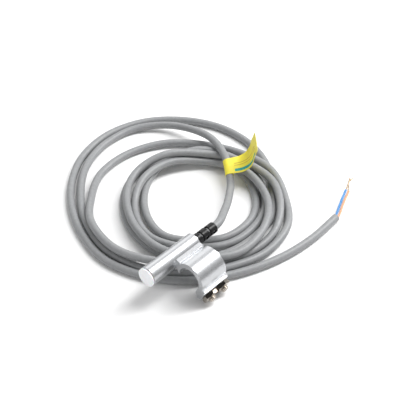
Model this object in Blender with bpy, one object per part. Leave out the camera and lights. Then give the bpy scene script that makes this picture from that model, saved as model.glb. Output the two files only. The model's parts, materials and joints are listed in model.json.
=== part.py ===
"""Cylinder position sensor with a tie-rod clamp, its cable and the pieces inside it.

Frame: metres, +Z up, the floor at z = 0. The tube's axis runs along Y, with its sensing
end towards -Y and its cable end towards +Y. The clamp arm reaches towards +X. The origin
is under the middle of the sensor head. Sizes below are in millimetres.
"""

import math

import bmesh
import bpy
from mathutils import Matrix, Vector

MM = 0.001

# Head: the tube, its clamp arm and where they stand
HEAD_LENGTH = 46.0  # front plug to the end of the strain relief
TUBE_R = 4.75
TUBE_BORE_R = 3.6
TUBE_X = -9.97  # the tube's axis
TUBE_Z = 15.65
TUBE_PLACE = (TUBE_X, 0.0, TUBE_Z)
FRONT_Y = -HEAD_LENGTH / 2
REAR_Y = FRONT_Y + 32.0
CLAMP_LENGTH = 16.0
CLAMP_REAR_Y = REAR_Y - 0.3
CLAMP_FRONT_Y = CLAMP_REAR_Y - CLAMP_LENGTH

# Clamp arm's cross-section, measured from the tube's axis
ROD_CENTRE = (12.0, -4.5)
ROD_R = 5.9
ARM_R = 8.5
SCREW_ANGLE = math.radians(-22)  # from the tube's side towards the floor
SCREW_LEVEL = -2.69  # the screws' axis, across that direction
FLANGE_FACE = 22.95  # where the lock nuts bear, along that direction

# Fasteners: M4 set screws with thin lock nuts
SCREW_R = 2.0
SCREW_HOLE_R = 2.2
SCREW_TIP = 17.6
SCREW_END = 26.9
SOCKET_R = 1.15
SOCKET_DEPTH = 2.0
NUT_FLATS = 7.0
NUT_HEIGHT = 2.2
NUT_START = FLANGE_FACE + 0.2
SCREW_YS = {"front": CLAMP_FRONT_Y + 3.9, "rear": CLAMP_FRONT_Y + 12.2}

# Front plug and strain relief
PLUG_FLANGE = 0.9
PLUG_R = 4.7
SEAM = 0.2
RELIEF_SPIGOT = 2.3
RELIEF_END_Y = FRONT_Y + HEAD_LENGTH
RELIEF_SECTIONS = ((0.0, 3.7, 2.9), (4.6, 8.6, 2.85), (9.5, 14.0, 2.75))  # from, to, radius
RELIEF_NECK_R = 2.1
RELIEF_ROUND = 0.35
WINDOW = (1.6, 1.5, 1.7)  # the pocket in each side of the boot's last two sections

# Inside the tube
SLEEVE_R = (3.1, 3.4)  # inside, outside
SLEEVE_YS = (FRONT_Y + 7.0, REAR_Y - 6.2)
SEAL_YS = (REAR_Y - 5.4, REAR_Y - 2.7)
SEAL_R = 3.3
BOARD = (5.2, 19.0, 0.8)
BOARD_Y = FRONT_Y + 17.0
REED_R = 0.9
REED_LENGTH = 10.0
REED_Z = 1.75
REED_Y = FRONT_Y + 13.5
LEAD_R = 0.25
INNER_CORE_R = 0.5
INNER_CORE_HOLE_R = 0.65
INNER_CORE_X = 1.3
INNER_CORE_Z = 1.1
SOLDER_Y = 8.2

# Cable, and what is on it
CABLE_R = 2.0
CORE_R = 0.55
WIRE_R = 0.28
LABEL_WIDTH = 9.0
LABEL_R = 2.2
LABEL_THICK = 0.15
LABEL_AT = 5.5  # where its middle is, counted in route points
LABEL_TAIL = ((-0.4, 2.2), (3.0, 2.5), (6.5, 3.2), (9.7, 5.8), (11.3, 10.0), (11.8, 15.5), (12.8, 21.5))
CABLE_STEPS = 2  # straight stretches of the tube for each span of the route

# The cable's route, from the strain relief: round the loops, then out to its bare end
ROUTE = (
    (TUBE_X, RELIEF_END_Y + 0.4, TUBE_Z), (-11, 28.5, 15.3), (-15, 36, 13.5), (-20, 44.5, 11),
    (-26, 53, 8.5), (-33.5, 62.5, 6.5), (-46.5, 72.5, 11), (-66.5, 81, 9),
    (-90.5, 79.5, 4.5), (-106, 65.5, 2.5), (-109, 44.5, 2), (-102, 24, 2.5),
    (-88, 7, 2.5), (-70.5, -6, 2), (-48.5, -13.5, 2.5), (-26, -10.5, 2.1), (-8, 0.5, 2.1),
    (5, 18, 2.5), (11, 38, 2), (7, 59.5, 2.5), (-7, 75, 3), (-24, 84, 6.5), (-47, 87, 3.5),
    (-68, 80, 2.5), (-85, 66, 2.5), (-93.5, 46, 2), (-91.5, 24.5, 2.3), (-79, 6, 3.5),
    (-63, -8, 6.6), (-41, -13, 6.7), (-20.8, -6, 6.7), (-5.4, 10.2, 2.7), (4.5, 29, 2),
    (5.5, 49.5, 2.5), (-3, 66, 5), (-18.5, 77.5, 7), (-40.5, 79, 6.5), (-57, 70.5, 7.5),
    (-70.5, 53.5, 10), (-74.5, 35, 7), (-64.5, 17.5, 6.5), (-46, 5, 6.5), (-25, 1.5, 6.9),
    (-6, 10, 7.4), (4.5, 26.5, 6.5), (1.5, 48, 6.5), (-11, 65, 6.5), (-31.5, 73.5, 7),
    (-53, 70.5, 3.5), (-67, 54, 6.5), (-68, 33.5, 7), (-58, 16.5, 3.5), (-40, 7.5, 2.5),
    (-22.5, 12.5, 2), (-7.5, 27.5, 2), (-4.6, 45, 2), (-10.9, 63.7, 2), (-28, 77.6, 2.3),
    (-47.5, 81, 3.5), (-63.5, 70, 7), (-71.5, 52.5, 3.5), (-66.5, 33.5, 2.5), (-51, 18, 2.5),
    (-33.5, 13, 2), (-18, 22.3, 2), (-9.6, 35, 2), (-10.2, 52.5, 2), (-20.7, 67.4, 2), (-39, 76.5, 2),
    (-59, 73, 2), (-74, 59, 2), (-77.5, 38, 2), (-68.5, 19, 2), (-50.5, 6, 2), (-30, 2.5, 2),
    (-13.5, 9.5, 2), (-3, 23.5, 2), (0, 41.5, 2), (-4.2, 61.2, 2), (-17, 77, 2), (-33, 91, 2),
    (-52.5, 98.5, 2), (-74, 98, 2), (-93.5, 88.5, 2), (-108, 72.5, 2), (-114, 51.5, 2),
    (-110.5, 30, 2), (-99.5, 11.5, 2), (-83.5, -3.5, 2), (-63.5, -14, 2), (-42.5, -18.5, 2),
    (-20.5, -13, 2), (-3, -1, 2), (9.5, 16.5, 2), (18, 37.5, 2), (21.5, 59, 2), (21, 81, 2),
)
CORE_ENDS = {
    "blue": ((20.3, 81.4, 2.0), (19.0, 85.0, 1.9), (16.9, 89.5, 1.4), (14.3, 95.6, 0.9),
             (11.2, 103.2, 0.6)),
    "brown": ((21.7, 81.4, 2.0), (20.6, 85.0, 1.8), (18.5, 89.5, 1.3), (15.9, 95.6, 0.8),
              (12.9, 103.4, 0.6)),
}
WIRE_ENDS = {
    "blue": ((11.1, 103.6, 0.6), (10.3, 105.6, 0.45), (9.3, 107.9, 0.3), (8.1, 110.5, 0.3),
             (6.9, 113.2, 0.3)),
    "brown": ((12.8, 103.8, 0.6), (11.4, 105.6, 0.9), (9.6, 107.6, 1.05), (8.6, 110.4, 1.0),
              (8.3, 113.4, 0.5)),
}


def material(name, colour, roughness, metallic=0.0, alpha=1.0):
    """A Principled material."""
    made = bpy.data.materials.new(name)
    made.use_nodes = True
    shader = made.node_tree.nodes["Principled BSDF"]
    shader.inputs["Base Color"].default_value = (*colour, 1.0)
    shader.inputs["Roughness"].default_value = roughness
    shader.inputs["Metallic"].default_value = metallic
    shader.inputs["Alpha"].default_value = alpha
    return made


def materials():
    """Every material of the part, by slot name."""
    return {
        "aluminium": material("aluminium", (0.80, 0.81, 0.83), 0.32, 1.0),
        "white_plastic": material("white_plastic", (0.86, 0.87, 0.88), 0.45),
        "black_boot": material("black_boot", (0.02, 0.02, 0.022), 0.42),
        "grey_jacket": material("grey_jacket", (0.42, 0.43, 0.43), 0.50),
        "yellow_label": material("yellow_label", (0.93, 0.84, 0.12), 0.55),
        "nickel": material("nickel", (0.72, 0.69, 0.64), 0.20, 1.0),
        "blue_core": material("blue_core", (0.06, 0.26, 0.62), 0.45),
        "brown_core": material("brown_core", (0.78, 0.36, 0.18), 0.45),
        "copper": material("copper", (0.78, 0.50, 0.30), 0.35, 1.0),
        "board": material("board", (0.05, 0.28, 0.12), 0.50),
        "reed_glass": material("reed_glass", (0.70, 0.82, 0.80), 0.08, 0.0, 0.35),
        "lead_metal": material("lead_metal", (0.75, 0.73, 0.68), 0.30, 1.0),
        "lamp_lens": material("lamp_lens", (0.85, 0.10, 0.06), 0.20),
        "component": material("component", (0.05, 0.05, 0.06), 0.40),
        "solder": material("solder", (0.70, 0.70, 0.72), 0.25, 1.0),
        "sleeve": material("sleeve", (0.85, 0.80, 0.62), 0.50),
        "seal": material("seal", (0.30, 0.30, 0.32), 0.60),
    }


def add_mesh(name, bm, slot, matrix=None, location=(0.0, 0.0, 0.0)):
    """Turn a bmesh in millimetres into an object, and place it."""
    bmesh.ops.recalc_face_normals(bm, faces=bm.faces)
    bm.transform(Matrix.Scale(MM, 4))
    mesh = bpy.data.meshes.new(name)
    bm.to_mesh(mesh)
    bm.free()
    mesh.shade_smooth()
    mesh.set_sharp_from_angle(angle=math.radians(35))
    mesh.materials.append(slot)
    made = bpy.data.objects.new(name, mesh)
    made.matrix_world = Matrix.Translation(Vector(location) * MM) @ (matrix or Matrix())
    bpy.context.scene.collection.objects.link(made)
    return made


def arc(centre, radius, start, end, steps):
    """Points along an arc, with its angles in degrees."""
    turns = [math.radians(start + (end - start) * i / steps) for i in range(steps + 1)]
    return [(centre[0] + radius * math.cos(t), centre[1] + radius * math.sin(t)) for t in turns]


def extruded(outline, start, end):
    """A closed XZ outline extruded along Y."""
    bm = bmesh.new()
    rings = [[bm.verts.new((x, y, z)) for x, z in outline] for y in (start, end)]
    bm.faces.new(rings[0])
    bm.faces.new(rings[1])
    for i in range(len(outline)):
        j = (i + 1) % len(outline)
        bm.faces.new((rings[0][i], rings[0][j], rings[1][j], rings[1][i]))
    return bm


def turned(profile, steps, bore=0.0):
    """A solid turned about Y from (y, radius) pairs, with an optional straight bore."""
    loop = list(profile)
    if bore:
        loop += [(profile[-1][0], bore), (profile[0][0], bore)]
    bm = bmesh.new()
    rings = []
    for y, r in loop:
        turns = [2 * math.pi * (i + 0.5) / steps for i in range(steps)]
        rings.append([bm.verts.new((r * math.cos(t), y, r * math.sin(t))) for t in turns])
    last = len(rings) if bore else len(rings) - 1
    for k in range(last):
        here, there = rings[k], rings[(k + 1) % len(rings)]
        for i in range(steps):
            j = (i + 1) % steps
            bm.faces.new((here[i], here[j], there[j], there[i]))
    if not bore:
        bm.faces.new(rings[0])
        bm.faces.new(rings[-1])
    return bm


def box(size, round_over=0.0):
    """A block about the origin, with its edges bevelled."""
    bm = bmesh.new()
    bmesh.ops.create_cube(bm, size=1.0)
    bmesh.ops.scale(bm, vec=size, verts=bm.verts)
    if round_over:
        bmesh.ops.bevel(bm, geom=bm.edges, offset=round_over, segments=1, affect="EDGES")
    return bm


def combine(target, tool, operation):
    """Apply one exact Boolean and remove the tool."""
    step = target.modifiers.new("combine", "BOOLEAN")
    step.operation = operation
    step.solver = "EXACT"
    step.object = tool
    bpy.context.view_layer.update()
    depsgraph = bpy.context.evaluated_depsgraph_get()
    shape = bpy.data.meshes.new_from_object(target.evaluated_get(depsgraph))
    target.modifiers.clear()
    target.data = shape
    bpy.data.objects.remove(tool)
    shape.shade_smooth()
    shape.set_sharp_from_angle(angle=math.radians(35))


def wire(name, points, radius, slot, resolution=2):
    """A tube along points in millimetres, with filled ends."""
    curve = bpy.data.curves.new(name, "CURVE")
    curve.dimensions = "3D"
    curve.bevel_depth = radius * MM
    curve.bevel_resolution = resolution
    curve.use_fill_caps = True
    spline = curve.splines.new("POLY")
    spline.points.add(len(points) - 1)
    for point, place in zip(spline.points, points):
        point.co = (*(Vector(place) * MM), 1.0)
    curve.materials.append(slot)
    made = bpy.data.objects.new(name, curve)
    bpy.context.scene.collection.objects.link(made)
    return made


def smooth_point(points, at):
    """The place at a fractional index of a Catmull-Rom curve through points."""
    i = min(int(at), len(points) - 2)
    b, c = Vector(points[i]), Vector(points[i + 1])
    a = Vector(points[i - 1]) if i > 0 else 2 * b - c
    d = Vector(points[i + 2]) if i + 2 < len(points) else 2 * c - b
    t = at - i
    bend = 2 * a - 5 * b + 4 * c - d
    twist = 3 * (b - c) + d - a
    return b + 0.5 * t * ((c - a) + t * (bend + t * twist))


def smooth_line(points, steps):
    """Points along that curve, steps to each span."""
    return [smooth_point(points, i / steps) for i in range((len(points) - 1) * steps + 1)]


def flange_point(along, level):
    """A cross-section point given along and across the screws' direction."""
    c, s = math.cos(SCREW_ANGLE), math.sin(SCREW_ANGLE)
    return (along * c - level * s, along * s + level * c)


def screw_frame():
    """Rotation that takes +Y to the screws' outward direction."""
    out = Vector((math.cos(SCREW_ANGLE), 0.0, math.sin(SCREW_ANGLE)))
    across = Vector((-math.sin(SCREW_ANGLE), 0.0, math.cos(SCREW_ANGLE)))
    return Matrix((out.cross(across), out, across)).transposed().to_4x4()


def screw_place(y):
    """Where a screw's axis passes the tube's axis, across the head."""
    x, z = flange_point(0.0, SCREW_LEVEL)
    return (TUBE_X + x, y, TUBE_Z + z)


def clamp_outline():
    """The web and the C-shaped arm, in XZ, starting inside the tube's wall."""
    web_top = [(2.6, 2.92), (6.0, 2.35), (6.45, 1.75)]
    arm_outside = arc(ROD_CENTRE, ARM_R, 127.7, -14, 40)
    ribs = [(22.45, 1.85), (22.45, 1.3), (22.0, 1.1), (22.0, 0.8)]
    ribs += [(FLANGE_FACE, 0.55), (FLANGE_FACE, -4.7)]
    foot = [(17.0, -13.1), (15.9, -10.1)]
    arm_inside = arc(ROD_CENTRE, ROD_R, -38, 182, 44)
    lip = [(5.6, -4.75), (4.1, -2.4), (2.6, -1.6)]
    return web_top + arm_outside + [flange_point(*p) for p in ribs] + foot + arm_inside + lip


def clamp_housing(slots):
    """The extruded body: tube, web, C-shaped arm and two screw holes."""
    metal = slots["aluminium"]
    tube = turned([(FRONT_Y + PLUG_FLANGE + SEAM, TUBE_R), (REAR_Y, TUBE_R)], 72)
    body = add_mesh("clamp_housing", tube, metal, None, TUBE_PLACE)
    arm = extruded(clamp_outline(), CLAMP_FRONT_Y, CLAMP_REAR_Y)
    combine(body, add_mesh("arm", arm, metal, None, TUBE_PLACE), "UNION")
    bore = turned([(FRONT_Y - 2, TUBE_BORE_R), (REAR_Y + 2, TUBE_BORE_R)], 48)
    combine(body, add_mesh("bore", bore, metal, None, TUBE_PLACE), "DIFFERENCE")
    for y in SCREW_YS.values():
        hole = turned([(SCREW_TIP - 4, SCREW_HOLE_R), (SCREW_END, SCREW_HOLE_R)], 24)
        combine(body, add_mesh("hole", hole, metal, screw_frame(), screw_place(y)), "DIFFERENCE")


def fasteners(slots):
    """Set screws with cone tips and hexagon sockets, and their lock nuts."""
    metal = slots["nickel"]
    shank = [(SCREW_TIP, 1.3), (SCREW_TIP + 0.6, SCREW_R)]
    shank += [(SCREW_END - 0.3, SCREW_R), (SCREW_END, SCREW_R - 0.3)]
    socket = [(SCREW_END - SOCKET_DEPTH, SOCKET_R), (SCREW_END + 1, SOCKET_R)]
    for side, y in SCREW_YS.items():
        where = (screw_frame(), screw_place(y))
        screw = add_mesh(f"set_screw_{side}", turned(shank, 24), metal, *where)
        combine(screw, add_mesh("socket", turned(socket, 6), metal, *where), "DIFFERENCE")
        lock_nut(f"lock_nut_{side}", metal, where)


def lock_nut(name, metal, where):
    """A hexagon nut with chamfered corners, its flats across the head's length."""
    corner = NUT_FLATS / math.sqrt(3)
    end = NUT_START + NUT_HEIGHT
    nut = add_mesh(name, turned([(NUT_START, corner), (end, corner)], 6), metal, *where)
    cone = [(NUT_START, corner - 0.55), (NUT_START + 0.35, corner + 0.05)]
    cone += [(end - 0.35, corner + 0.05), (end, corner - 0.55)]
    combine(nut, add_mesh("cone", turned(cone, 48), metal, *where), "INTERSECT")
    hole = turned([(NUT_START - 1, SCREW_HOLE_R), (end + 1, SCREW_HOLE_R)], 24)
    combine(nut, add_mesh("hole", hole, metal, *where), "DIFFERENCE")


def front_plug(slots):
    """The sensing end's plug: a rounded flange and a stem inside the tube."""
    stem = TUBE_BORE_R - 0.3
    profile = [
        (FRONT_Y, PLUG_R - 0.35),
        (FRONT_Y + 0.1, PLUG_R - 0.12),
        (FRONT_Y + 0.35, PLUG_R),
        (FRONT_Y + PLUG_FLANGE, PLUG_R),
        (FRONT_Y + PLUG_FLANGE, stem),
        (FRONT_Y + 6.0, stem),
        (FRONT_Y + 6.4, stem - 0.4),
    ]
    add_mesh("front_plug", turned(profile, 64), slots["white_plastic"], None, TUBE_PLACE)


def strain_relief(slots):
    """The moulded boot: a spigot in the tube, and three sections with necks between them."""
    rubber = slots["black_boot"]
    profile = [(REAR_Y - RELIEF_SPIGOT, SEAL_R), (REAR_Y + 0.1, SEAL_R)]
    for start, end, radius in RELIEF_SECTIONS:
        first, last = REAR_Y + start, REAR_Y + end
        neck_before = start > 0
        neck_after = end < RELIEF_SECTIONS[-1][1]
        profile += [(first + 0.12, RELIEF_NECK_R)] if neck_before else []
        profile += [(first + 0.12, radius - RELIEF_ROUND / 2), (first + RELIEF_ROUND, radius)]
        profile += [(last - RELIEF_ROUND, radius), (last - 0.12, radius - RELIEF_ROUND / 2)]
        profile += [(last - 0.12, RELIEF_NECK_R)] if neck_after else [(last, radius - 0.6)]
    boot = add_mesh("strain_relief", turned(profile, 40), rubber, None, TUBE_PLACE)
    for start, end, radius in RELIEF_SECTIONS[1:]:
        middle = REAR_Y + (start + end) / 2
        for side in (-1, 1):
            place = (TUBE_X + side * (radius - 0.2), middle, TUBE_Z)
            combine(boot, add_mesh("window", box(WINDOW), rubber, None, place), "DIFFERENCE")


def inside(slots):
    """The sleeve, the circuit board and everything on it, the seal and the inner cores."""
    sleeve = turned([(SLEEVE_YS[0], SLEEVE_R[1]), (SLEEVE_YS[1], SLEEVE_R[1])], 32, SLEEVE_R[0])
    add_mesh("insulating_sleeve", sleeve, slots["sleeve"], None, TUBE_PLACE)
    add_mesh("circuit_board", box(BOARD), slots["board"], None, (TUBE_X, BOARD_Y, TUBE_Z))
    board_top = BOARD[2] / 2 + 0.1
    reed_switch(slots, board_top)
    components = (
        ("indicator_led", (0.8, 1.6, 0.6), (1.9, BOARD_Y - 6.0), "lamp_lens"),
        ("series_resistor", (1.2, 2.0, 0.5), (-1.7, BOARD_Y + 5.6), "component"),
        ("protection_diode", (1.2, 1.8, 0.8), (-1.8, BOARD_Y - 6.0), "component"),
    )
    for name, size, (x, y), slot in components:
        place = (TUBE_X + x, y, TUBE_Z + board_top + size[2] / 2)
        add_mesh(name, box(size, 0.08), slots[slot], None, place)
    solder_joints(slots, -board_top)
    seal_and_cores(slots)


def reed_switch(slots, board_top):
    """The glass capsule along the board, and a lead down to the board at each end."""
    half = REED_LENGTH / 2
    shoulder = [(half - 1.0, REED_R), (half - 0.4, 0.75), (half, 0.35)]
    glass = [(-y, r) for y, r in reversed(shoulder)] + shoulder
    place = (TUBE_X, REED_Y, TUBE_Z + REED_Z)
    add_mesh("reed_glass", turned(glass, 20), slots["reed_glass"], None, place)
    lead = [(half + 0.15, REED_Z), (half + 0.9, REED_Z), (half + 1.5, REED_Z - 0.4)]
    lead += [(half + 1.8, board_top + 0.4), (half + 1.9, board_top + 0.05)]
    for side, name in ((-1, "front"), (1, "rear")):
        points = [(TUBE_X, REED_Y + side * along, TUBE_Z + z) for along, z in lead]
        wire(f"reed_lead_{name}", points, LEAD_R, slots["lead_metal"])


def solder_joints(slots, level):
    """Four solder cones under the board, a pair at each end."""
    for k in range(4):
        bm = bmesh.new()
        bmesh.ops.create_cone(bm, cap_ends=True, segments=12, radius1=0.25, radius2=0.6, depth=0.5)
        x = TUBE_X + INNER_CORE_X * (-1, 1)[k % 2]
        y = BOARD_Y + SOLDER_Y * (-1, 1)[k // 2]
        add_mesh(f"solder_joint_{k + 1}", bm, slots["solder"], None, (x, y, TUBE_Z + level - 0.25))


def seal_and_cores(slots):
    """The rear seal and the two cores that pass through it to the board."""
    disc = turned([(SEAL_YS[0], SEAL_R), (SEAL_YS[1], SEAL_R)], 32)
    seal = add_mesh("rear_seal", disc, slots["seal"], None, TUBE_PLACE)
    hole = [(SEAL_YS[0] - 1, INNER_CORE_HOLE_R), (SEAL_YS[1] + 1, INNER_CORE_HOLE_R)]
    for side, name in ((1, "blue"), (-1, "brown")):
        x, z = TUBE_X + side * INNER_CORE_X, TUBE_Z + INNER_CORE_Z
        cutter = add_mesh("hole", turned(hole, 16), slots["seal"], None, (x, 0.0, z))
        combine(seal, cutter, "DIFFERENCE")
        points = [(x, BOARD_Y + 7.4, z), (x, REAR_Y - RELIEF_SPIGOT - 0.3, z)]
        wire(f"inner_core_{name}", points, INNER_CORE_R, slots[f"{name}_core"])


def label_outline():
    """The label's path round the cable and out along its flag, with its thickness."""
    tail = smooth_line([(x, z, 0.0) for x, z in LABEL_TAIL], 3)
    path = [(p.x, p.y) for p in reversed(tail)] + arc((0, 0), LABEL_R, 100, 400, 20)[1:]
    sides = ([], [])
    for i, (x, z) in enumerate(path):
        before, after = path[max(i - 1, 0)], path[min(i + 1, len(path) - 1)]
        run = Vector((after[0] - before[0], after[1] - before[1])).normalized()
        for side, way in zip(sides, (0.5, -0.5)):
            side.append((x - run.y * LABEL_THICK * way, z + run.x * LABEL_THICK * way))
    return sides[0] + sides[1][::-1]


def flag_label(slots):
    """The flag label, stuck round the two straight stretches that meet in its middle."""
    outline = label_outline()
    bend = Vector(smooth_point(ROUTE, LABEL_AT))
    bm = bmesh.new()
    rings = []
    for before, after in ((-1, 0), (-1, 1), (0, 1)):
        ends = [smooth_point(ROUTE, LABEL_AT + step / CABLE_STEPS) for step in (before, after)]
        along = (ends[1] - ends[0]).normalized()
        right = along.cross(Vector((0, 0, 1))).normalized()
        up = right.cross(along)
        middle = bend + along * (before + after) * LABEL_WIDTH / 2
        rings.append([bm.verts.new(middle + right * x + up * z) for x, z in outline])
    bm.faces.new(rings[0])
    bm.faces.new(rings[-1])
    for here, there in zip(rings, rings[1:]):
        for i in range(len(outline)):
            j = (i + 1) % len(outline)
            bm.faces.new((here[i], here[j], there[j], there[i]))
    add_mesh("cable_flag_label", bm, slots["yellow_label"])


def cable(slots):
    """The cable, its stripped cores and their bare conductors."""
    wire("cable", smooth_line(ROUTE, CABLE_STEPS), CABLE_R, slots["grey_jacket"])
    for name, points in CORE_ENDS.items():
        wire(f"core_{name}", smooth_line(points, 2), CORE_R, slots[f"{name}_core"])
    for name, points in WIRE_ENDS.items():
        wire(f"conductor_{name}", smooth_line(points, 2), WIRE_R, slots["copper"])


def main():
    for old in list(bpy.data.objects):
        bpy.data.objects.remove(old)
    slots = materials()
    clamp_housing(slots)
    fasteners(slots)
    front_plug(slots)
    strain_relief(slots)
    inside(slots)
    cable(slots)
    flag_label(slots)


main()
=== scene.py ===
"""Looks of the cylinder position sensor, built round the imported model.

Sizes are in millimetres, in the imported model's own frame, and are turned into metres where a
mesh or a curve is made. The tube runs along Y, its sensing end towards -Y; the clamp arm
reaches towards +X.
"""

import json
import math

import bmesh
import bpy
from mathutils import Matrix, Vector


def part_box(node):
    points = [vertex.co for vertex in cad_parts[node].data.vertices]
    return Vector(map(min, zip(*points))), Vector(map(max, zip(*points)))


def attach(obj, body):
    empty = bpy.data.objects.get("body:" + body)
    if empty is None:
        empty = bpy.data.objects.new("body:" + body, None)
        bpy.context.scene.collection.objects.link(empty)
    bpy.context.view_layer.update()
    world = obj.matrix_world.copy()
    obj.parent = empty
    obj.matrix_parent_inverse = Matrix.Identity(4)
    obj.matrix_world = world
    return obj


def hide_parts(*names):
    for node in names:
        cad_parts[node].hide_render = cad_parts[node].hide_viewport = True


MM = 0.001
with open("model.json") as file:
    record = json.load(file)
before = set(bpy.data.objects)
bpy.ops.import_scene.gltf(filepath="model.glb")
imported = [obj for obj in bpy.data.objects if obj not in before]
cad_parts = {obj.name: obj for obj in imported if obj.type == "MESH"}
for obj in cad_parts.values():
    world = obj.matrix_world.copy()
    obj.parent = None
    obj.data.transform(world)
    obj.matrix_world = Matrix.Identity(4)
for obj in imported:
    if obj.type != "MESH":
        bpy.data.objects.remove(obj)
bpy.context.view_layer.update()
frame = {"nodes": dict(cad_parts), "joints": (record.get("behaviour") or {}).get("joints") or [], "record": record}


def in_mm(point):
    return Vector(point) / MM


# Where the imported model's pieces are
PLUG_LOW, PLUG_HIGH = (in_mm(corner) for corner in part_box("front_plug"))
FRONT_Y = PLUG_LOW.y
REAR_Y = in_mm(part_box("clamp_housing")[1]).y
BOOT_END_Y = in_mm(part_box("strain_relief")[1]).y
AXIS = (PLUG_LOW + PLUG_HIGH) / 2
TUBE_X, TUBE_Z = AXIS.x, AXIS.z
TUBE_PLACE = (TUBE_X, 0.0, TUBE_Z)
JOINTS = {joint["child"]: joint for joint in frame["joints"]}
SCREW_OUT = Vector(JOINTS["lock_nut_front"]["axis"]).normalized()
NUT_CENTRES = {side: in_mm(JOINTS[f"lock_nut_{side}"]["pos_m"]) for side in ("front", "rear")}

# Housing: the tube, and the arm's cross-section measured from the tube's axis
TUBE_R = 4.75
TUBE_BORE_R = 3.6
TUBE_FRONT_Y = FRONT_Y + 1.1
CLAMP_REAR_Y = REAR_Y - 0.3
CLAMP_FRONT_Y = CLAMP_REAR_Y - 16.0
ROD_CENTRE = (12.0, -4.5)
ROD_R = 5.9
ARM_R = 8.5
FLANGE_FACE = 22.95
END_ROUND = 0.22

# Fasteners: M4
PITCH = 0.7
SCREW_R = 2.0
THREAD_DEPTH = 0.36
SCREW_TIP = 17.6
SCREW_END = 26.9
SOCKET_R = 1.15
NUT_FLATS = 7.0
NUT_HEIGHT = 2.2
NUT_GAP = 0.2  # between the clamp and a lock nut
NUT_MIDDLE = FLANGE_FACE + NUT_GAP + NUT_HEIGHT / 2
NUT_HOLE_R = 2.06
SCREW_HOLE_R = SCREW_R + 0.15
COUNTERSINK_R = SCREW_R + 0.5
THREAD_CHAMFER = 0.55
SOCKET_DEPTH = 2.0

# Strain relief: sections as from, to and radius, after the tube's end
BOOT_SECTIONS = ((0.0, 3.7, 2.9), (4.6, 8.6, 2.85), (9.5, 14.0, 2.75))
BOOT_BORE_R = 2.08
NECK_R = 2.4

# Cable, and what is on it
CABLE_R = 2.0
CORE_R = 0.55
STRAND_R = 0.09
STRANDS = 7
LABEL_WIDTH = 9.0
LABEL_R = 2.2
LABEL_THICK = 0.15
LABEL_AT = 5.5  # where its middle is, counted in route points
LABEL_TAIL = ((-0.4, 2.2), (3.0, 2.5), (6.5, 3.2), (9.7, 5.8), (11.3, 10.0), (11.8, 15.5), (12.8, 21.5))

ROUTE = (
    (TUBE_X, BOOT_END_Y + 0.4, TUBE_Z), (-11, 28.5, 15.3), (-15, 36, 13.5), (-20, 44.5, 11),
    (-26, 53, 8.5), (-33.5, 62.5, 6.5), (-46.5, 72.5, 11), (-66.5, 81, 9),
    (-90.5, 79.5, 4.5), (-106, 65.5, 2.5), (-109, 44.5, 2), (-102, 24, 2.5),
    (-88, 7, 2.5), (-70.5, -6, 2), (-48.5, -13.5, 2.5), (-26, -10.5, 2.1), (-8, 0.5, 2.1),
    (5, 18, 2.5), (11, 38, 2), (7, 59.5, 2.5), (-7, 75, 3), (-24, 84, 6.5), (-47, 87, 3.5),
    (-68, 80, 2.5), (-85, 66, 2.5), (-93.5, 46, 2), (-91.5, 24.5, 2.3), (-79, 6, 3.5),
    (-63, -8, 6.6), (-41, -13, 6.7), (-20.8, -6, 6.7), (-5.4, 10.2, 2.7), (4.5, 29, 2),
    (5.5, 49.5, 2.5), (-3, 66, 5), (-18.5, 77.5, 7), (-40.5, 79, 6.5), (-57, 70.5, 7.5),
    (-70.5, 53.5, 10), (-74.5, 35, 7), (-64.5, 17.5, 6.5), (-46, 5, 6.5), (-25, 1.5, 6.9),
    (-6, 10, 7.4), (4.5, 26.5, 6.5), (1.5, 48, 6.5), (-11, 65, 6.5), (-31.5, 73.5, 7),
    (-53, 70.5, 3.5), (-67, 54, 6.5), (-68, 33.5, 7), (-58, 16.5, 3.5), (-40, 7.5, 2.5),
    (-22.5, 12.5, 2), (-7.5, 27.5, 2), (-4.6, 45, 2), (-10.9, 63.7, 2), (-28, 77.6, 2.3),
    (-47.5, 81, 3.5), (-63.5, 70, 7), (-71.5, 52.5, 3.5), (-66.5, 33.5, 2.5), (-51, 18, 2.5),
    (-33.5, 13, 2), (-18, 22.3, 2), (-9.6, 35, 2), (-10.2, 52.5, 2), (-20.7, 67.4, 2), (-39, 76.5, 2),
    (-59, 73, 2), (-74, 59, 2), (-77.5, 38, 2), (-68.5, 19, 2), (-50.5, 6, 2), (-30, 2.5, 2),
    (-13.5, 9.5, 2), (-3, 23.5, 2), (0, 41.5, 2), (-4.2, 61.2, 2), (-17, 77, 2), (-33, 91, 2),
    (-52.5, 98.5, 2), (-74, 98, 2), (-93.5, 88.5, 2), (-108, 72.5, 2), (-114, 51.5, 2),
    (-110.5, 30, 2), (-99.5, 11.5, 2), (-83.5, -3.5, 2), (-63.5, -14, 2), (-42.5, -18.5, 2),
    (-20.5, -13, 2), (-3, -1, 2), (9.5, 16.5, 2), (18, 37.5, 2), (21.5, 59, 2), (21, 81, 2),
)
CORE_ENDS = {
    "blue": ((20.3, 81.4, 2.0), (19.0, 85.0, 1.9), (16.9, 89.5, 1.4), (14.3, 95.6, 0.9),
             (11.2, 103.2, 0.6)),
    "brown": ((21.7, 81.4, 2.0), (20.6, 85.0, 1.8), (18.5, 89.5, 1.3), (15.9, 95.6, 0.8),
              (12.9, 103.4, 0.6)),
}
WIRE_ENDS = {
    "blue": ((11.1, 103.6, 0.6), (10.3, 105.6, 0.45), (9.3, 107.9, 0.3), (8.1, 110.5, 0.3),
             (6.9, 113.2, 0.3)),
    "brown": ((12.8, 103.8, 0.6), (11.4, 105.6, 0.9), (9.6, 107.6, 1.05), (8.6, 110.4, 1.0),
              (8.3, 113.4, 0.5)),
}

# Camera, in metres
CAMERA_PLACE = Vector((0.2145, -0.2327, 0.3285))
CAMERA_TARGET = Vector((-0.0402, 0.0464, 0.0))
CAMERA_LENS = 87.0


# Materials

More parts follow.
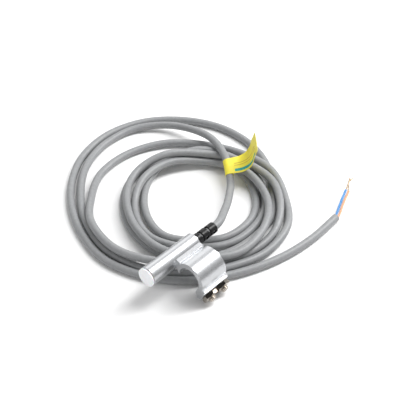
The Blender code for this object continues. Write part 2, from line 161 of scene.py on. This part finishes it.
def shader_of(material):
    return next(n for n in material.node_tree.nodes if n.type == "BSDF_PRINCIPLED")


def new_material(name, colour, roughness, metallic=0.0, **sockets):
    """A Principled material with its uniform values on the shader's own sockets."""
    material = bpy.data.materials.new(name)
    material.use_nodes = True
    shader = shader_of(material)
    shader.inputs["Base Color"].default_value = (*colour, 1.0)
    shader.inputs["Roughness"].default_value = roughness
    shader.inputs["Metallic"].default_value = metallic
    for socket, value in sockets.items():
        shader.inputs[socket.replace("_", " ")].default_value = value
    return material


def noise(material, size, stretch=(1, 1, 1), detail=3.0):
    """Noise with features of about that many millimetres, in the object's own space."""
    tree = material.node_tree
    place = tree.nodes.new("ShaderNodeTexCoord")
    scaled = tree.nodes.new("ShaderNodeMapping")
    scaled.inputs["Scale"].default_value = stretch
    made = tree.nodes.new("ShaderNodeTexNoise")
    made.inputs["Scale"].default_value = 1.0 / (size * MM)
    made.inputs["Detail"].default_value = detail
    tree.links.new(place.outputs["Object"], scaled.inputs["Vector"])
    tree.links.new(scaled.outputs["Vector"], made.inputs["Vector"])
    return made.outputs["Fac"]


def vary_colour(material, amount, low, high, start=0.35, end=0.65):
    """Let a 0-to-1 value move the base colour between two colours."""
    tree = material.node_tree
    ramp = tree.nodes.new("ShaderNodeValToRGB")
    ramp.color_ramp.elements[0].position = start
    ramp.color_ramp.elements[1].position = end
    ramp.color_ramp.elements[0].color = (*low, 1.0)
    ramp.color_ramp.elements[1].color = (*high, 1.0)
    tree.links.new(amount, ramp.inputs["Fac"])
    tree.links.new(ramp.outputs["Color"], shader_of(material).inputs["Base Color"])
    return ramp.outputs["Color"]


def vary_roughness(material, amount, low, high):
    tree = material.node_tree
    spread = tree.nodes.new("ShaderNodeMapRange")
    spread.inputs["From Min"].default_value = 0.3
    spread.inputs["From Max"].default_value = 0.7
    spread.inputs["To Min"].default_value = low
    spread.inputs["To Max"].default_value = high
    tree.links.new(amount, spread.inputs["Value"])
    tree.links.new(spread.outputs["Result"], shader_of(material).inputs["Roughness"])


def add_bump(material, height, depth):
    """Bump of that depth in millimetres; a second call adds to the first."""
    tree = material.node_tree
    bump = tree.nodes.new("ShaderNodeBump")
    bump.inputs["Distance"].default_value = depth * MM
    tree.links.new(height, bump.inputs["Height"])
    normal = shader_of(material).inputs["Normal"]
    if normal.is_linked:
        tree.links.new(normal.links[0].from_socket, bump.inputs["Normal"])
    tree.links.new(bump.outputs["Normal"], normal)


def finished(name, low, high, roughness, grain, depth, metallic=0.0, stretch=(1, 1, 1), **sockets):
    """A material whose colour, roughness and surface all vary at the given grain, in mm."""
    material = new_material(name, high, roughness, metallic, **sockets)
    vary_colour(material, noise(material, grain * 8, stretch), low, high)
    vary_roughness(material, noise(material, grain * 3, stretch), roughness * 0.85, roughness * 1.2)
    add_bump(material, noise(material, grain, stretch), depth)
    return material


def aluminium():
    """Extruded aluminium, blasted and clear anodised, with faint lines along the extrusion."""
    material = finished("aluminium", (0.53, 0.54, 0.555), (0.57, 0.58, 0.595), 0.29, 0.10, 0.0003, 1.0)
    add_bump(material, noise(material, 0.35, (1, 0.004, 1)), 0.0004)
    return material


def jacket():
    """Satin grey PVC, slightly uneven along its length."""
    material = finished("grey_jacket", (0.25, 0.256, 0.263), (0.285, 0.291, 0.298), 0.42, 0.18, 0.004)
    add_bump(material, noise(material, 3.0), 0.02)
    return material


def label_film():
    """Yellow film with a plain stripe and two hairlines along the flag."""
    yellow, teal, ochre = (0.95, 0.84, 0.075), (0.02, 0.36, 0.32), (0.60, 0.40, 0.04)
    material = new_material("yellow_label", yellow, 0.38)
    tree = material.node_tree
    uv = tree.nodes.new("ShaderNodeUVMap")
    uv.uv_map = "label"
    across = tree.nodes.new("ShaderNodeSeparateXYZ")
    tree.links.new(uv.outputs["UV"], across.inputs["Vector"])
    colour = vary_colour(material, noise(material, 2.5), (0.92, 0.80, 0.065), yellow)
    on_flag = band(tree, across.outputs["X"], 0.10, 0.62)
    for low, high, ink in ((0.12, 0.30, teal), (0.50, 0.53, ochre), (0.62, 0.65, ochre)):
        inked = tree.nodes.new("ShaderNodeMath")
        inked.operation = "MULTIPLY"
        tree.links.new(band(tree, across.outputs["Y"], low, high), inked.inputs[0])
        tree.links.new(on_flag, inked.inputs[1])
        mix = tree.nodes.new("ShaderNodeMix")
        mix.data_type = "RGBA"
        mix.inputs["B"].default_value = (*ink, 1.0)
        tree.links.new(inked.outputs["Value"], mix.inputs["Factor"])
        tree.links.new(colour, mix.inputs["A"])
        colour = mix.outputs["Result"]
    tree.links.new(colour, shader_of(material).inputs["Base Color"])
    vary_roughness(material, noise(material, 0.8), 0.32, 0.45)
    add_bump(material, noise(material, 0.6), 0.004)
    return material


def band(tree, value, low, high):
    """1 where the value lies between low and high, and 0 elsewhere."""
    above = tree.nodes.new("ShaderNodeMath")
    above.operation = "GREATER_THAN"
    above.inputs[1].default_value = low
    below = tree.nodes.new("ShaderNodeMath")
    below.operation = "LESS_THAN"
    below.inputs[1].default_value = high
    both = tree.nodes.new("ShaderNodeMath")
    both.operation = "MULTIPLY"
    tree.links.new(value, above.inputs[0])
    tree.links.new(value, below.inputs[0])
    tree.links.new(above.outputs["Value"], both.inputs[0])
    tree.links.new(below.outputs["Value"], both.inputs[1])
    return both.outputs["Value"]


def all_materials():
    """Every material, by the record's slot name."""
    return {
        "aluminium": aluminium(),
        "white_plastic": finished(
            "white_plastic", (0.87, 0.89, 0.91), (0.92, 0.94, 0.96), 0.36, 0.15, 0.004,
            Subsurface_Weight=0.15, Subsurface_Scale=0.002),
        "black_boot": finished(
            "black_boot", (0.004, 0.004, 0.0045), (0.008, 0.008, 0.009), 0.30, 0.20, 0.004,
            Specular_IOR_Level=0.3),
        "grey_jacket": jacket(),
        "yellow_label": label_film(),
        "nickel": finished(
            "nickel", (0.42, 0.38, 0.335), (0.52, 0.48, 0.43), 0.15, 0.10, 0.001, 1.0),
        "blue_core": finished("blue_core", (0.05, 0.22, 0.55), (0.08, 0.30, 0.68), 0.34, 0.10, 0.004),
        "brown_core": finished(
            "brown_core", (0.72, 0.32, 0.17), (0.84, 0.41, 0.23), 0.34, 0.10, 0.004),
        "copper": finished("copper", (0.55, 0.40, 0.26), (0.80, 0.62, 0.42), 0.28, 0.05, 0.001, 1.0),
        "board": finished("board", (0.03, 0.18, 0.07), (0.06, 0.32, 0.13), 0.35, 0.20, 0.004),
        "reed_glass": finished(
            "reed_glass", (0.80, 0.90, 0.88), (0.88, 0.95, 0.93), 0.06, 0.50, 0.002,
            Transmission_Weight=0.95, IOR=1.5),
        "lead_metal": finished(
            "lead_metal", (0.66, 0.65, 0.62), (0.78, 0.76, 0.72), 0.28, 0.05, 0.001, 1.0),
        "lamp_lens": finished(
            "lamp_lens", (0.72, 0.05, 0.03), (0.90, 0.12, 0.07), 0.16, 0.10, 0.001,
            Transmission_Weight=0.4),
        "component": finished("component", (0.03, 0.03, 0.035), (0.06, 0.06, 0.07), 0.40, 0.06, 0.003),
        "solder": finished("solder", (0.60, 0.60, 0.62), (0.76, 0.76, 0.78), 0.22, 0.08, 0.002, 1.0),
        "sleeve": finished("sleeve", (0.72, 0.62, 0.36), (0.86, 0.78, 0.52), 0.42, 0.20, 0.004),
        "seal": finished("seal", (0.18, 0.18, 0.19), (0.26, 0.26, 0.28), 0.60, 0.10, 0.006),
    }


# Shapes

def arc(centre, radius, start, end, steps):
    """Points along an arc, with its angles in degrees."""
    turns = [math.radians(start + (end - start) * i / steps) for i in range(steps + 1)]
    return [(centre[0] + radius * math.cos(t), centre[1] + radius * math.sin(t)) for t in turns]


def rounded(points, radius, steps=4):
    """The same open outline with its sharp corners rounded off."""
    made = []
    for i, here in enumerate(points):
        if i in (0, len(points) - 1):
            made.append(tuple(here))
            continue
        b = Vector(here)
        a = Vector(points[i - 1])
        c = Vector(points[i + 1])
        turn = (b - a).angle(c - b, 0.0)
        if turn < math.radians(20):
            made.append(tuple(here))
            continue
        cut = min(radius * math.tan(turn / 2), 0.45 * (b - a).length, 0.45 * (c - b).length)
        first = b + (a - b).normalized() * cut
        last = b + (c - b).normalized() * cut
        for k in range(steps + 1):
            t = k / steps
            made.append(tuple(first * (1 - t) ** 2 + b * 2 * t * (1 - t) + last * t * t))
    return made


def extruded(outline, start, end):
    """A closed XZ outline extruded along Y."""
    bm = bmesh.new()
    rings = [[bm.verts.new((x, y, z)) for x, z in outline] for y in (start, end)]
    bm.faces.new(rings[0])
    bm.faces.new(rings[1])
    for i in range(len(outline)):
        j = (i + 1) % len(outline)
        bm.faces.new((rings[0][i], rings[0][j], rings[1][j], rings[1][i]))
    return bm


def turned(profile, steps, bore=0.0):
    """A solid turned about Y from (y, radius) pairs, with an optional straight bore."""
    loop = list(profile)
    if bore:
        loop += [(profile[-1][0], bore), (profile[0][0], bore)]
    bm = bmesh.new()
    rings = []
    for y, r in loop:
        turns = [2 * math.pi * (i + 0.5) / steps for i in range(steps)]
        rings.append([bm.verts.new((r * math.cos(t), y, r * math.sin(t))) for t in turns])
    last = len(rings) if bore else len(rings) - 1
    for k in range(last):
        here, there = rings[k], rings[(k + 1) % len(rings)]
        for i in range(steps):
            j = (i + 1) % steps
            bm.faces.new((here[i], here[j], there[j], there[i]))
    if not bore:
        bm.faces.new(rings[0])
        bm.faces.new(rings[-1])
    return bm


def box(size):
    bm = bmesh.new()
    bmesh.ops.create_cube(bm, size=1.0)
    bmesh.ops.scale(bm, vec=size, verts=bm.verts)
    return bm


def screw_frame():
    """Rotation that takes +Y to the screws' outward direction."""
    across = SCREW_OUT.cross(Vector((0, 1, 0))).normalized()
    side = SCREW_OUT.cross(across)
    return Matrix((side, SCREW_OUT, across)).transposed().to_4x4()


def new_mesh(name, bm, turn=None, place=(0, 0, 0)):
    """Turn a bmesh in millimetres into an object with its place in its vertices."""
    bmesh.ops.recalc_face_normals(bm, faces=bm.faces)
    bm.transform(Matrix.Scale(MM, 4) @ Matrix.Translation(Vector(place)) @ (turn or Matrix()))
    mesh = bpy.data.meshes.new(name)
    bm.to_mesh(mesh)
    bm.free()
    made = bpy.data.objects.new(name, mesh)
    bpy.context.scene.collection.objects.link(made)
    return made


def apply(piece):
    """Bake a piece's modifiers into its mesh."""
    bpy.context.view_layer.update()
    depsgraph = bpy.context.evaluated_depsgraph_get()
    mesh = bpy.data.meshes.new_from_object(piece.evaluated_get(depsgraph))
    piece.modifiers.clear()
    piece.data = mesh


def combine(target, tool, operation):
    """Apply one exact Boolean and remove the tool."""
    step = target.modifiers.new("combine", "BOOLEAN")
    step.operation = operation
    step.solver = "EXACT"
    step.object = tool
    apply(target)
    bpy.data.objects.remove(tool)


def soften(piece, width, angle):
    """Round a piece's sharp edges."""
    step = piece.modifiers.new("soften", "BEVEL")
    step.width = width * MM
    step.segments = 2
    step.limit_method = "ANGLE"
    step.angle_limit = math.radians(angle)
    step.use_clamp_overlap = True
    apply(piece)


def smooth(piece, angle=35):
    """Shade a piece smooth but for its sharp edges, its large faces keeping flat highlights."""
    piece.data.shade_smooth()
    piece.data.set_sharp_from_angle(angle=math.radians(angle))
    step = piece.modifiers.new("normals", "WEIGHTED_NORMAL")
    step.keep_sharp = True
    apply(piece)


def finish_piece(piece, slot, body, *nodes):
    """Give a piece its material and body, and hide the imported parts that it stands for."""
    piece.data.materials.clear()
    piece.data.materials.append(MATERIALS[slot])
    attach(piece, body)
    if nodes:
        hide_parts(*nodes)
    return piece


# Head

def flange_point(along, level):
    """A cross-section point given along and across the screws' direction."""
    c, s = SCREW_OUT.x, SCREW_OUT.z
    return (along * c - level * s, along * s + level * c)


def arm_outline():
    """The web and the C-shaped arm, in XZ from the tube's axis."""
    web_top = [(2.6, 2.92), (6.0, 2.35), (6.45, 1.65)]
    outside = arc(ROD_CENTRE, ARM_R, 127.7, -14, 80)
    ribs = [(22.45, 1.85), (22.45, 1.35), (21.75, 1.2), (21.75, 0.75)]
    ribs += [(FLANGE_FACE, 0.6), (FLANGE_FACE, -4.7)]
    foot = [(17.0, -13.1), (15.9, -10.1)]
    inside = arc(ROD_CENTRE, ROD_R, -38, 182, 100)
    lip = [(5.6, -4.75), (4.1, -2.4), (2.6, -1.6)]
    corners = outside[-1:] + [flange_point(*p) for p in ribs] + foot + inside[:1]
    return web_top + outside[:-1] + rounded(corners, 0.07)[:-1] + inside + rounded(lip, 0.3)


def housing():
    """The tube with its C-shaped arm, bored and drilled, its end edges rounded off."""
    ends = rounded([(TUBE_FRONT_Y, TUBE_R - 1), (TUBE_FRONT_Y, TUBE_R), (REAR_Y, TUBE_R),
                    (REAR_Y, TUBE_R - 1)], END_ROUND)
    body = new_mesh("housing", turned(ends, 144), None, TUBE_PLACE)
    arm = new_mesh("arm", extruded(arm_outline(), CLAMP_FRONT_Y, CLAMP_REAR_Y), None, TUBE_PLACE)
    soften(arm, 0.12, 50)
    combine(body, arm, "UNION")
    bore = turned([(FRONT_Y - 2, TUBE_BORE_R), (REAR_Y + 2, TUBE_BORE_R)], 96)
    combine(body, new_mesh("bore", bore, None, TUBE_PLACE), "DIFFERENCE")
    for centre in NUT_CENTRES.values():
        hole = [(-NUT_MIDDLE + 13, SCREW_HOLE_R), (-NUT_HEIGHT / 2 - 0.45, SCREW_HOLE_R)]
        hole += [(-NUT_HEIGHT / 2 - 0.15, COUNTERSINK_R), (1, COUNTERSINK_R)]
        combine(body, new_mesh("hole", turned(hole, 48), screw_frame(), centre), "DIFFERENCE")
    smooth(body, 30)
    finish_piece(body, "aluminium", "root", "clamp_housing")


def plug():
    """The white plug, its face very slightly dished inside a rounded rim."""
    stem = TUBE_BORE_R - 0.1
    rim = PLUG_HIGH.x - TUBE_X
    y = FRONT_Y
    back, end = y + 0.75, y + 6.4
    profile = [(y + 0.08, 0.4), (y + 0.06, rim - 1.2), (y, rim - 0.8), (y, rim), (back, rim)]
    profile += [(back, stem), (end, stem), (end, 1.0)]
    piece = new_mesh("plug", turned(rounded(profile, 0.2), 128), None, TUBE_PLACE)
    smooth(piece)
    finish_piece(piece, "white_plastic", "root", "front_plug")


def boot():
    """The strain relief: ringed sections, slots above and below the necks, side windows."""
    spigot = TUBE_BORE_R - 0.05
    profile = [(REAR_Y - 2.3, spigot), (REAR_Y + 0.02, spigot)]
    for start, end, radius in BOOT_SECTIONS:
        first, last = REAR_Y + start, REAR_Y + end
        if start:
            profile += [(first, NECK_R)]
        profile += [(first + 0.05, radius), (last - 0.05, radius)]
        if end < BOOT_SECTIONS[-1][1]:
            profile += [(last, NECK_R)]
    profile[-1] = (BOOT_END_Y, BOOT_SECTIONS[-1][2])
    profile.append((BOOT_END_Y, BOOT_BORE_R + 0.05))
    piece = new_mesh("boot", turned(rounded(profile, 0.3), 96, BOOT_BORE_R), None, TUBE_PLACE)
    for (_, end, radius), (start, _, _) in zip(BOOT_SECTIONS, BOOT_SECTIONS[1:]):
        middle = REAR_Y + (start + end) / 2
        for way in (-1, 1):
            place = (TUBE_X, middle, TUBE_Z + way * (radius + 0.4))
            cutter = new_mesh("slot", box((7.0, start - end + 0.5, 4.0)), None, place)
            combine(piece, cutter, "DIFFERENCE")
    for start, end, radius in BOOT_SECTIONS[1:]:
        middle = REAR_Y + (start + end) / 2
        for way in (-1, 1):
            place = (TUBE_X + way * radius, middle, TUBE_Z)
            cutter = new_mesh("window", box((2.6, 1.6, 2.0)), None, place)
            combine(piece, cutter, "DIFFERENCE")
    soften(piece, 0.08, 50)
    smooth(piece)
    finish_piece(piece, "black_boot", "root", "strain_relief")


def threaded(start, end, radius, depth):
    """A rod with a real thread along Y, closed at both ends and chamfered."""
    rows_per_turn, steps = 14, 48
    rows = int((end - start) / PITCH * rows_per_turn)
    bm = bmesh.new()
    rings = []
    for k in range(rows + 1):
        y = start + (end - start) * k / rows
        limit = radius - THREAD_CHAMFER + min(y - start, end - y)
        ring = []
        for i in range(steps):
            turn = i / steps
            phase = (y / PITCH - turn) % 1.0
            cut = min(1.0, max(0.0, 1.25 * abs(2 * phase - 1) - 0.12))
            r = min(limit, radius - depth * cut)
            t = 2 * math.pi * turn
            ring.append(bm.verts.new((r * math.cos(t), y, r * math.sin(t))))
        rings.append(ring)
    for here, there in zip(rings, rings[1:]):
        for i in range(steps):
            j = (i + 1) % steps
            bm.faces.new((here[i], here[j], there[j], there[i]))
    bm.faces.new(rings[0])
    bm.faces.new(rings[-1])
    return bm


def fasteners():
    """Threaded set screws with hexagon sockets, and chamfered lock nuts."""
    for side, centre in NUT_CENTRES.items():
        start, end = SCREW_TIP - NUT_MIDDLE, SCREW_END - NUT_MIDDLE
        screw = new_mesh(f"screw_{side}", threaded(start, end, SCREW_R, THREAD_DEPTH),
                         screw_frame(), centre)
        socket = [(end - SOCKET_DEPTH, SOCKET_R), (end - 0.25, SOCKET_R)]
        socket = turned([*socket, (end + 0.2, SOCKET_R + 0.45)], 6)
        combine(screw, new_mesh("socket", socket, screw_frame(), centre), "DIFFERENCE")
        smooth(screw, 40)
        finish_piece(screw, "nickel", f"set_screw_{side}", f"set_screw_{side}")
        nut(side, centre)


def nut(side, centre):
    """A hexagon nut: chamfered corners, a countersunk hole, soft edges."""
    corner = NUT_FLATS / math.sqrt(3)
    half = NUT_HEIGHT / 2
    turn = screw_frame()
    piece = new_mesh(f"nut_{side}", turned([(-half, corner), (half, corner)], 6), turn, centre)
    cone = [(-half, corner - 0.6), (-half + 0.33, corner + 0.05)]
    cone += [(half - 0.33, corner + 0.05), (half, corner - 0.6)]
    combine(piece, new_mesh("cone", turned(cone, 96), turn, centre), "INTERSECT")
    hole = [(-half - 0.1, NUT_HOLE_R + 0.4), (-half + 0.3, NUT_HOLE_R)]
    hole += [(half - 0.3, NUT_HOLE_R), (half + 0.1, NUT_HOLE_R + 0.4)]
    combine(piece, new_mesh("hole", turned(hole, 64), turn, centre), "DIFFERENCE")
    soften(piece, 0.06, 25)
    smooth(piece, 30)
    finish_piece(piece, "nickel", f"lock_nut_{side}", f"lock_nut_{side}")


# Cable

def smooth_point(points, at):
    """The place at a fractional index of a Catmull-Rom curve through points."""
    i = min(int(at), len(points) - 2)
    b, c = Vector(points[i]), Vector(points[i + 1])
    a = Vector(points[i - 1]) if i > 0 else 2 * b - c
    d = Vector(points[i + 2]) if i + 2 < len(points) else 2 * c - b
    t = at - i
    bend = 2 * a - 5 * b + 4 * c - d
    twist = 3 * (b - c) + d - a
    return b + 0.5 * t * ((c - a) + t * (bend + t * twist))


def smooth_line(points, steps):
    """Points along that curve, steps to each span."""
    return [smooth_point(points, i / steps) for i in range((len(points) - 1) * steps + 1)]


def tube(name, lines, radius, sides):
    """Round tubes along lines of points, with filled ends."""
    curve = bpy.data.curves.new(name, "CURVE")
    curve.dimensions = "3D"
    curve.bevel_depth = radius * MM
    curve.bevel_resolution = (sides - 4) // 2
    curve.use_fill_caps = True
    for points in lines:
        spline = curve.splines.new("POLY")
        spline.points.add(len(points) - 1)
        spline.use_smooth = True
        for point, place in zip(spline.points, points):
            point.co = (*(Vector(place) * MM), 1.0)
    made = bpy.data.objects.new(name, curve)
    bpy.context.scene.collection.objects.link(made)
    return made


def strands(points):
    """Thin strands twisted round each other along a line, opening a little at the tip."""
    line = smooth_line(points, 8)
    lines = [line]
    for k in range(STRANDS - 1):
        strand = []
        for i, here in enumerate(line):
            before, after = line[max(i - 1, 0)], line[min(i + 1, len(line) - 1)]
            along = (after - before).normalized()
            side = along.cross(Vector((0, 0, 1))).normalized()
            up = side.cross(along)
            share = i / (len(line) - 1)
            turn = 2 * math.pi * (k / (STRANDS - 1) + 2.2 * share)
            away = 2 * STRAND_R * (1 + 0.9 * max(0.0, share - 0.6))
            strand.append(here + (side * math.cos(turn) + up * math.sin(turn)) * away)
        lines.append(strand)
    return lines


def cores():
    """The stripped cores and their bare strands."""
    made = []
    for name, points in CORE_ENDS.items():
        inside = Vector(points[0]) - (Vector(points[1]) - Vector(points[0])).normalized()
        core = tube(f"core_end_{name}", [smooth_line((inside, *points), 6)], CORE_R, 16)
        made.append(finish_piece(core, f"{name}_core", "root", f"core_{name}"))
        start = Vector(WIRE_ENDS[name][0])
        inside = start - (Vector(WIRE_ENDS[name][1]) - start).normalized()
        bare = tube(f"strands_{name}", strands((inside, *WIRE_ENDS[name])), STRAND_R, 8)
        made.append(finish_piece(bare, "copper", "root", f"conductor_{name}"))
    return made


def label_path():
    """The label's line in cross-section: from the flag's tip, round the cable, and its length."""
    tail = smooth_line([(x, z, 0.0) for x, z in LABEL_TAIL], 8)
    return [(p.x, p.y) for p in reversed(tail)] + arc((0, 0), LABEL_R, 100, 400, 60)[1:]


def label():
    """The flag label, carried along the cable under it."""
    path = label_path()
    run = [0.0]
    for a, b in zip(path, path[1:]):
        run.append(run[-1] + math.dist(a, b))
    stations = 12
    bm = bmesh.new()
    grid = []
    for s in range(stations + 1):
        share = s / stations
        at = LABEL_AT + (share - 0.5) * LABEL_SPAN
        here = smooth_point(ROUTE, at)
        along = (smooth_point(ROUTE, at + 0.02) - smooth_point(ROUTE, at - 0.02)).normalized()
        right = along.cross(Vector((0, 0, 1))).normalized()
        up = right.cross(along)
        grid.append([bm.verts.new(here + right * x + up * z) for x, z in path])
    uv = bm.loops.layers.uv.new("label")
    for s in range(stations):
        for i in range(len(path) - 1):
            face = bm.faces.new((grid[s][i], grid[s][i + 1], grid[s + 1][i + 1], grid[s + 1][i]))
            places = ((i, s), (i + 1, s), (i + 1, s + 1), (i, s + 1))
            for loop, (k, t) in zip(face.loops, places):
                loop[uv].uv = (run[k] / run[-1], t / stations)
    piece = new_mesh("flag_label", bm)
    step = piece.modifiers.new("thickness", "SOLIDIFY")
    step.thickness = LABEL_THICK * MM
    step.offset = 0.0
    apply(piece)
    smooth(piece)
    return finish_piece(piece, "yellow_label", "root", "cable_flag_label")


def cable():
    """The whole cable, from inside the strain relief to its bare end, and what is on it."""
    inside = [(TUBE_X, REAR_Y + y, TUBE_Z) for y in (0.5, 5.0, 9.5)]
    line = smooth_line((*inside, *ROUTE), 8)
    piece = tube("grey_cable", [line], CABLE_R, 24)
    finish_piece(piece, "grey_jacket", "root", "cable")
    label()
    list(cores())


def inner_pieces():
    """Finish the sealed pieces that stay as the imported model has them."""
    slots = {s["node"]: s["material_slot"] for s in frame["record"]["subparts"]}
    for name, node in frame["nodes"].items():
        if not node.hide_render:
            node.material_slots[0].material = MATERIALS[slots[name]]


# Setting

def camera():
    data = bpy.data.cameras.new("camera")
    data.lens = CAMERA_LENS
    data.clip_start = 0.01
    made = bpy.data.objects.new("camera", data)
    made.location = CAMERA_PLACE
    made.rotation_mode = "QUATERNION"
    made.rotation_quaternion = (CAMERA_TARGET - CAMERA_PLACE).to_track_quat("-Z", "Y")
    bpy.context.scene.collection.objects.link(made)
    bpy.context.scene.camera = made


def aimed(azimuth, elevation, distance=1.0):
    """A vector of that length in a direction given in degrees, from +X round to +Y and up."""
    a, e = math.radians(azimuth), math.radians(elevation)
    return Vector((math.cos(e) * math.cos(a), math.cos(e) * math.sin(a), math.sin(e))) * distance


def area_light(name, azimuth, elevation, distance, size, radiance):
    """A soft box that faces the object, with the brightness that a mirror would show of it."""
    data = bpy.data.lights.new(name, "AREA")
    data.shape = "RECTANGLE"
    data.size, data.size_y = size
    data.energy = radiance * math.pi * size[0] * size[1]
    made = bpy.data.objects.new(name, data)
    made.location = CAMERA_TARGET + aimed(azimuth, elevation, distance)
    made.rotation_mode = "QUATERNION"
    made.rotation_quaternion = (-aimed(azimuth, elevation)).to_track_quat("-Z", "Y")
    bpy.context.scene.collection.objects.link(made)


def sky_band(tree, direction, stops):
    """Brightness of the sky by how nearly it lies in a direction: 0 is behind, 1 is there."""
    place = tree.nodes.new("ShaderNodeTexCoord")
    facing = tree.nodes.new("ShaderNodeVectorMath")
    facing.operation = "DOT_PRODUCT"
    facing.inputs[1].default_value = direction
    spread = tree.nodes.new("ShaderNodeMapRange")
    spread.inputs["From Min"].default_value = -1.0
    ramp = tree.nodes.new("ShaderNodeValToRGB")
    for element, (at, bright) in zip(ramp.color_ramp.elements, stops[:1] + stops[-1:]):
        element.position = at
        element.color = (bright, bright, bright, 1.0)
    for at, bright in stops[1:-1]:
        ramp.color_ramp.elements.new(at).color = (bright, bright, bright, 1.0)
    tree.links.new(place.outputs["Generated"], facing.inputs[0])
    tree.links.new(facing.outputs["Value"], spread.inputs["Value"])
    tree.links.new(spread.outputs["Result"], ramp.inputs["Fac"])
    return ramp.outputs["Color"]


def studio():
    """A pale floor, a dim sky with a dark patch high in front, and three soft boxes."""
    floor = new_mesh("floor", box((6000, 6000, 2)), None, (0, 0, -1.0))
    material = finished("floor", (0.90, 0.90, 0.90), (0.92, 0.92, 0.92), 0.6, 2.0, 0.01)
    floor.data.materials.append(material)
    world = bpy.data.worlds.new("studio")
    world.use_nodes = True
    bpy.context.scene.world = world
    tree = world.node_tree
    height = sky_band(tree, (0, 0, 1), [(0.5, 0.32), (0.75, 0.62), (1.0, 0.85)])
    patch = sky_band(tree, aimed(-74, 66), [(0.0, 1.0), (0.93, 1.0), (0.975, 0.08), (1.0, 0.04)])
    both = tree.nodes.new("ShaderNodeMix")
    both.data_type = "RGBA"
    both.blend_type = "MULTIPLY"
    both.inputs["Factor"].default_value = 1.0
    tree.links.new(height, both.inputs["A"])
    tree.links.new(patch, both.inputs["B"])
    tree.links.new(both.outputs["Result"], tree.nodes["Background"].inputs["Color"])
    area_light("key_softbox", 68, 52, 0.90, (0.26, 0.95), 13.0)
    area_light("side_softbox", 143, 30, 0.90, (0.60, 0.55), 1.1)
    area_light("front_softbox", -100, 24, 0.90, (0.80, 0.45), 0.6)
    bpy.context.scene.view_settings.view_transform = "Standard"


MATERIALS = all_materials()
ROUTE_STRETCH = smooth_point(ROUTE, LABEL_AT + 0.5) - smooth_point(ROUTE, LABEL_AT - 0.5)
LABEL_SPAN = LABEL_WIDTH / ROUTE_STRETCH.length

camera()
cable()
housing()
plug()
boot()
fasteners()
inner_pieces()
studio()
